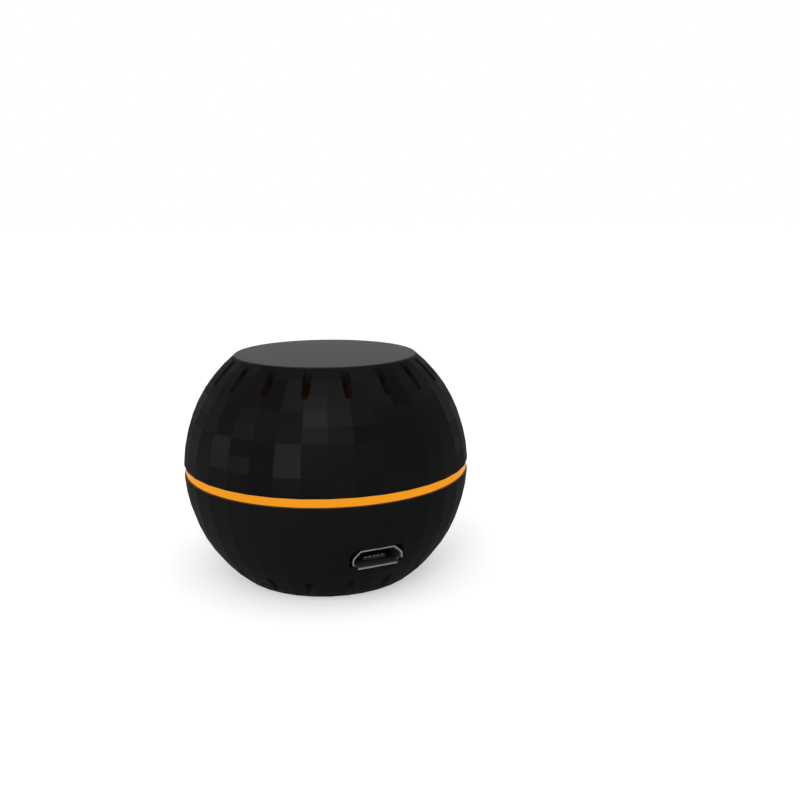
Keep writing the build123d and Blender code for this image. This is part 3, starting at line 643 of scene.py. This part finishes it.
def plated_screws(node, head_up):
    """Zinc plating, with the thread on the shank and painted shade in the thread's roots."""
    low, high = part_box(node)
    material, surface = finish(f"{node}_finish", Metallic=1)
    place, x, y, z = where(surface)
    shank = z < high.z - HEAD_HEIGHT if head_up else z > low.z + HEAD_HEIGHT
    thread = abs(surface.math("FRACT", z / THREAD_PITCH) - 0.5) * 2
    blotch = noise(surface, place, 0.5 * MM)
    zinc = mix(surface, blotch, (0.45, 0.46, 0.48), (0.36, 0.36, 0.36))
    # Painted shade: the thread's roots are painted darker.
    connect(
        surface,
        Base_Color=mix(surface, shank * (thread < 0.25), zinc, (0.2, 0.2, 0.2)),
        Roughness=0.3 + 0.2 * blotch,
        Normal=bump(surface, shank * thread + 0.05 * blotch, THREAD_DEPTH),
    )
    dress(material, node)


plated_screws("base_screws", True)


# Light ring: one clear moulding, frosted where it shows. The LEDs light its collar inside,
# and the light leaves at the band between the two shells.
GLOW_LEVEL = 1.2
BAND_GLOW = (0.87 / GLOW_LEVEL, 0.312 / GLOW_LEVEL, 0.011 / GLOW_LEVEL)
COLLAR_GLOW = (0.83, 0.3, 0.1)
BAND_REACH = 21.7 * MM
guide, surface = finish(
    "light_guide",
    Base_Color=(0.02, 0.012, 0.004, 1), Roughness=0.3, IOR=1.05, Emission_Strength=GLOW_LEVEL,
)
place, x, y, z = where(surface)
band = x * x + y * y > BAND_REACH**2
frost = noise(surface, place, 0.15 * MM)
drift = noise(surface, place, 14 * MM, 0.0)
level = 0.93 + 0.1 * drift + 0.02 * frost
connect(
    surface,
    Emission_Color=mix(surface, level, (0, 0, 0), mix(surface, band, COLLAR_GLOW, BAND_GLOW)),
    Normal=bump(surface, frost, 0.01 * MM),
)
dress(guide, "light_ring")


# Carrier ring: the moulding that clamps the light ring to the upper shell. Its grooves take
# the base cover's lugs, so that a short twist frees the ball.
dress(plastic, "carrier_ring")


# Main board and its radio module, with gilt pads below for the spring pins and a printed
# aerial at the module's free end.
dress(board, "main_board", "radio_module")
dress(gilt, "contact_disc", "contact_ring", "radio_antenna")


# Status LEDs: six side-firing white packages at the board's edge. Each has a window of
# tinted resin that faces the collar.
LED_COUNT = 6
LED_START = radians(30)
WINDOW_SKIN = 0.09 * MM
leds, surface = finish("led_body", IOR=1.5, Roughness=0.35, Emission_Strength=2.0)
place, x, y, z = where(surface)
half_step = pi / LED_COUNT
fold = surface.math("WRAP", surface.math("ARCTAN2", x, -1 * y) - LED_START, half_step, -half_step)
ahead = surface.math("SQRT", x * x + y * y) * surface.math("COSINE", fold)
led_low, led_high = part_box("status_leds")
window = ahead > led_high.x - WINDOW_SKIN
body_grain = noise(surface, place, 0.2 * MM)
package = mix(surface, body_grain, (0.8, 0.78, 0.72), (0.7, 0.68, 0.62))
connect(
    surface,
    Base_Color=mix(surface, window, package, (0.6, 0.3, 0.03)),
    Emission_Color=mix(surface, window, (0, 0, 0), COLLAR_GLOW),
    Normal=bump(surface, body_grain, 0.01 * MM),
)
dress(leds, "status_leds")


# Climate sensor, radio chip, regulator and capacitors: reflow-soldered like those on the
# power board. The radio chip lies under a pressed and tinned can.
moulded_chip("climate_sensor", 0.08)
moulded_chip("radio_chip", 0.06)
moulded_chip("main_regulator")
ceramic_chips("main_capacitors", (0.42, 0.29, 0.18), (0.35, 0.23, 0.14))

can, surface = finish("tinned_can", Metallic=1)
place, x, y, z = where(surface)
SPANGLE = 1.2 * MM
crystals = surface.node("ShaderNodeTexVoronoi", {"Vector": place, "Scale": 1 / SPANGLE}, output="Color")
spangle = surface.node("ShaderNodeSeparateColor", {0: crystals})
long_way = surface.node("ShaderNodeMapping", {"Vector": place, "Scale": (0.06, 1, 1)})
rolled = noise(surface, long_way, 0.05 * MM, 2.0)
connect(
    surface,
    Base_Color=mix(surface, spangle, (0.6, 0.6, 0.58), (0.5, 0.5, 0.49)),
    Roughness=0.3 + 0.12 * spangle + 0.1 * rolled,
    Normal=bump(surface, rolled, 0.005 * MM),
)
dress(can, "radio_shield")


# Setup button: a sealed push switch under the main board. A pale plunger rides on a steel
# snap dome inside its black housing.
moulded_chip("button_housing", 0.05)
spring("snap_dome", "button_dome", "upper_half")
cap, surface = finish("button_plastic", IOR=1.45)
place, x, y, z = where(surface)
speck = noise(surface, place, 0.2 * MM)
connect(
    surface,
    Base_Color=mix(surface, speck, (0.72, 0.72, 0.7), (0.64, 0.64, 0.61)),
    Roughness=0.4 + 0.1 * speck,
    Normal=bump(surface, speck, 0.01 * MM),
)
dress(cap, "setup_button")


# Upper shell: the faceted dome with its vent slots and flat top. Three screws from below
# hold the carrier ring, the board and the light ring in it.
plated_screws("upper_screws", False)
dress(casing, "upper_shell")
